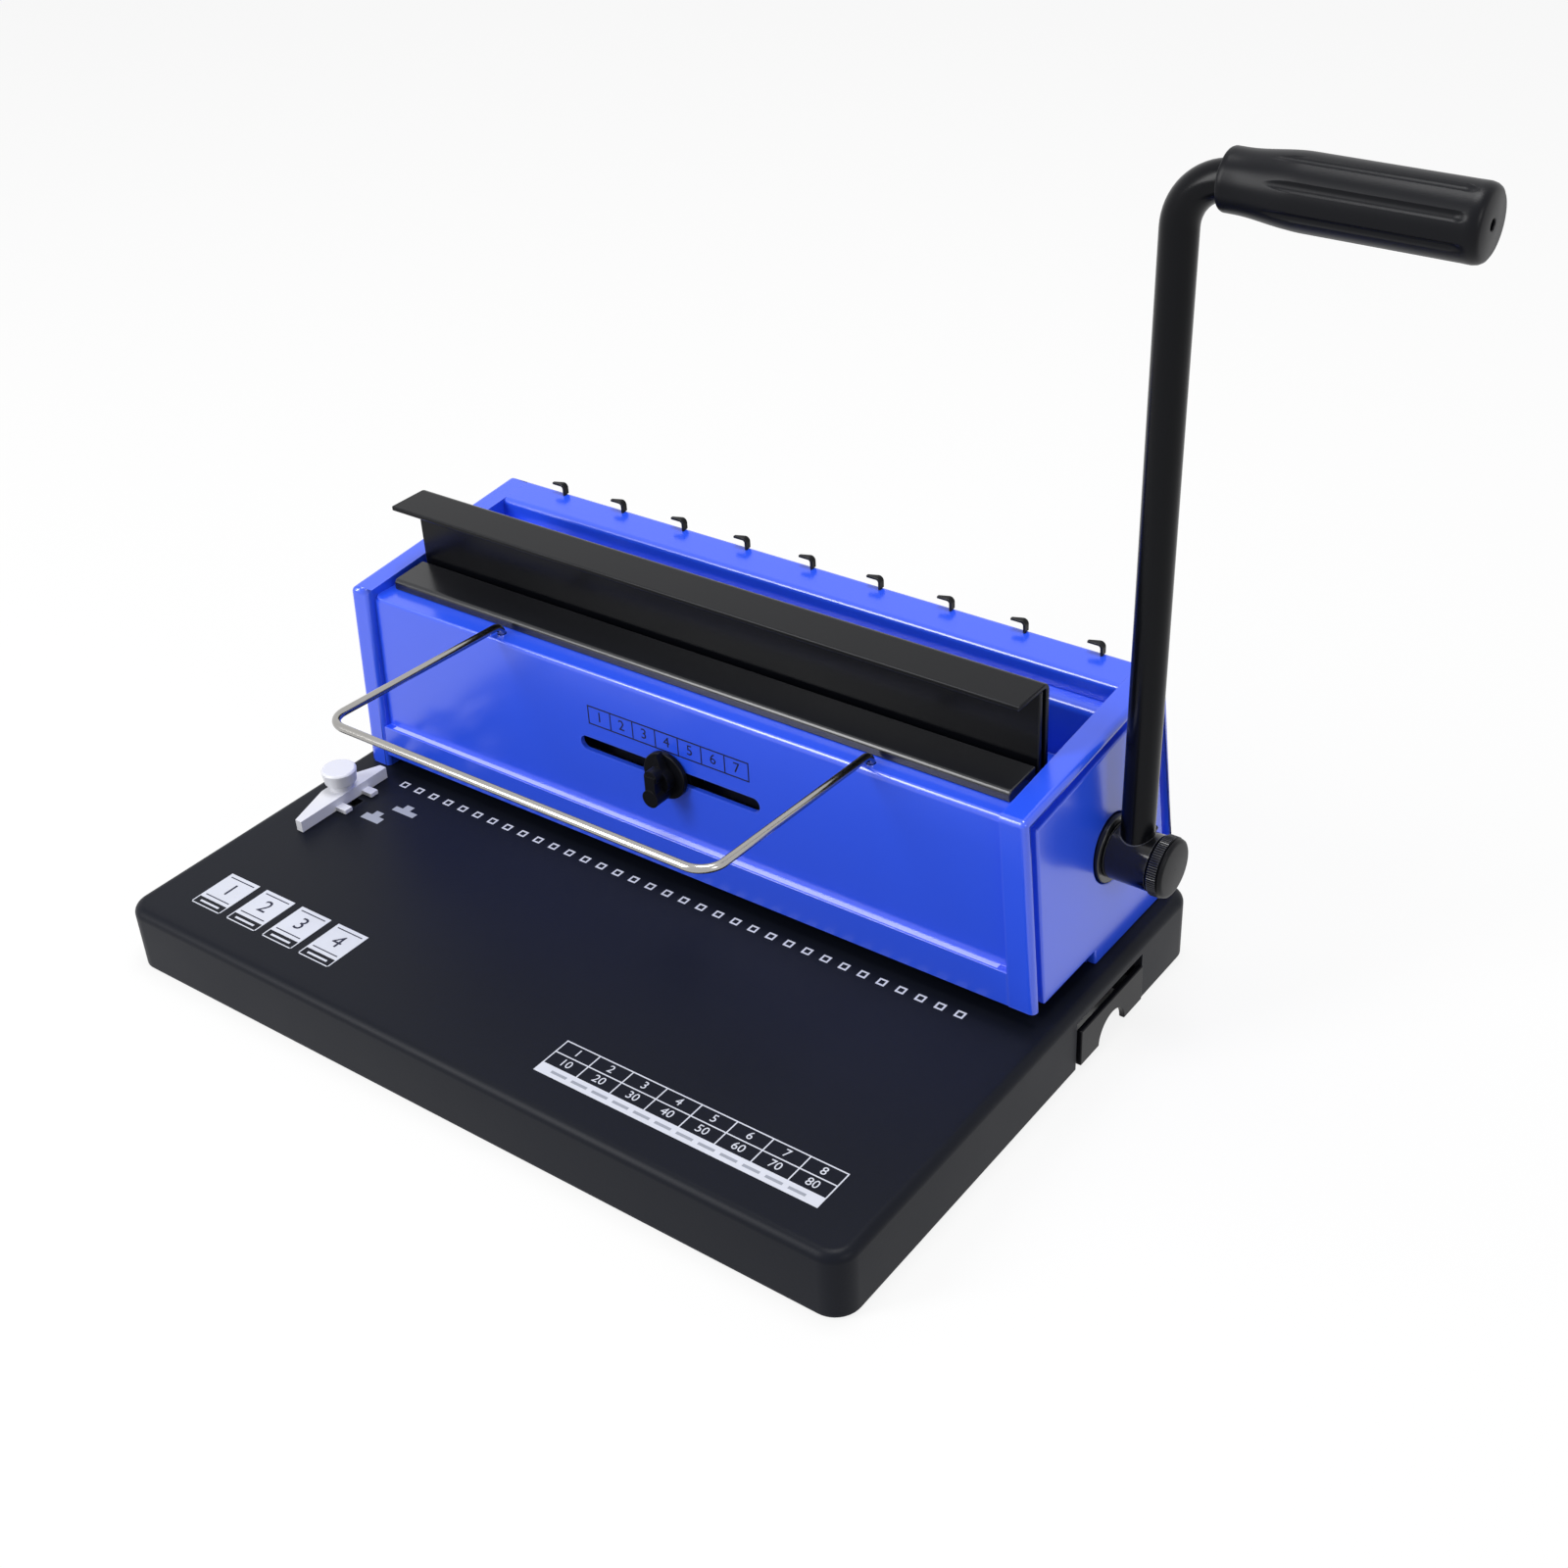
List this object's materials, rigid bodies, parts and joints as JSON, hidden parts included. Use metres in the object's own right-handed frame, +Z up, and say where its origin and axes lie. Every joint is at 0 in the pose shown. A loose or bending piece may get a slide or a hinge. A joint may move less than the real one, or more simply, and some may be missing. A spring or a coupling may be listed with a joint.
{
  "type": "manual binding machine",
  "caption": "Desk-top hand press that punches a row of square holes in paper and closes double-loop wire, with side handle, sheet rest, edge guide and chip tray.",
  "frame": {"origin": "middle of the base in plan, on the desk plane under the feet", "axes": "+X to the operator's right along the row of holes, +Y from the operator to the back, +Z up"},
  "size_m": [0.4438, 0.237, 0.3315],
  "materials": {
    "housing_paint": "gloss",
    "base_paint": "satin",
    "black_paint": "semi-gloss",
    "black_plastic": "satin",
    "ivory_plastic": "satin",
    "chrome": "polished",
    "steel": "ground",
    "bronze": "plain",
    "rubber": "matte"
  },
  "bodies": {
    "frame": {"base_shell": "base_paint", "rubber_feet": "rubber", "front_panel": "housing_paint", "left_end_frame": "housing_paint", "right_end_frame": "housing_paint", "left_side_cover": "housing_paint", "right_side_cover": "housing_paint", "rear_cover": "housing_paint", "wire_trough": "housing_paint", "wire_hooks": "black_paint", "fixed_jaw": "black_paint", "left_side_plate": "steel", "right_side_plate": "steel", "die_plate": "steel", "paper_stop": "steel", "stripper_plate": "steel", "shaft_bushes": "bronze", "shaft_flange": "black_paint", "spring_brackets": "steel", "return_springs": "steel", "rest_sockets": "black_plastic", "tray_rails": "steel", "frame_screws": "steel", "housing_screws": "steel", "stop_rail": "steel"},
    "crank": {"drive_shaft": "steel", "left_pinion": "steel", "right_pinion": "steel", "handle_hub": "black_paint", "crank_rod": "black_paint", "handle_grip": "black_plastic", "hub_screw": "black_paint"},
    "clamp": {"clamp_knob": "black_plastic", "clamp_stud": "steel"},
    "press": {"closing_bar": "black_paint", "closing_face": "black_paint", "punch_bar": "steel", "punch_pins": "steel", "left_rack": "steel", "right_rack": "steel", "spring_lugs": "steel", "press_screws": "steel"},
    "size_setting": {"size_slider": "black_plastic"},
    "size_knob": {"wing_knob": "black_plastic", "wing_disc": "black_plastic", "wing_spindle": "steel"},
    "guide": {"edge_guide": "ivory_plastic", "guide_nut": "steel"},
    "guide_lock": {"guide_knob": "ivory_plastic", "guide_bolt": "steel"},
    "rest": {"sheet_rest": "chrome"},
    "tray": {"chip_tray": "black_plastic"}
  },
  "joints": [
    {"name": "handle_turn", "type": "hinge", "parent": "frame", "child": "crank", "pos_m": [0, 0.0704, 0.0718], "axis": [1, 0, 0], "range_deg": [0, 90]},
    {"name": "press_stroke", "type": "slide", "parent": "frame", "child": "press", "axis": [0, 0, -1], "range_m": [0, 0.0189], "stiffness_N_per_m": 2500, "springref_m": -0.025, "deforming": ["return_springs"]},
    {"name": "clamp_turn", "type": "hinge", "parent": "crank", "child": "clamp", "pos_m": [0.18, 0.0704, 0.0718], "axis": [1, 0, 0], "range_deg": [0, 360]},
    {"name": "size_slide", "type": "slide", "parent": "frame", "child": "size_setting", "axis": [1, 0, 0], "range_m": [-0.038, 0.038]},
    {"name": "size_knob_turn", "type": "hinge", "parent": "size_setting", "child": "size_knob", "pos_m": [0.0014, 0.0153, 0.078], "axis": [0, 1, 0], "range_deg": [-90, 90]},
    {"name": "guide_slide", "type": "slide", "parent": "frame", "child": "guide", "axis": [1, 0, 0], "range_m": [-0.006, 0.006]},
    {"name": "guide_lock_turn", "type": "hinge", "parent": "guide", "child": "guide_lock", "pos_m": [-0.155, -0.016, 0.04], "axis": [0, 0, 1], "range_deg": [0, 360]},
    {"name": "rest_lift", "type": "slide", "parent": "frame", "child": "rest", "axis": [0, 0.0454, 0.999], "range_m": [0, 0.01]},
    {"name": "tray_slide", "type": "slide", "parent": "frame", "child": "tray", "axis": [1, 0, 0], "range_m": [0, 0.25]}
  ],
  "couplings": [
    {"joint": "press_stroke", "follows": "handle_turn", "m_per_rad": 0.012}
  ]
}
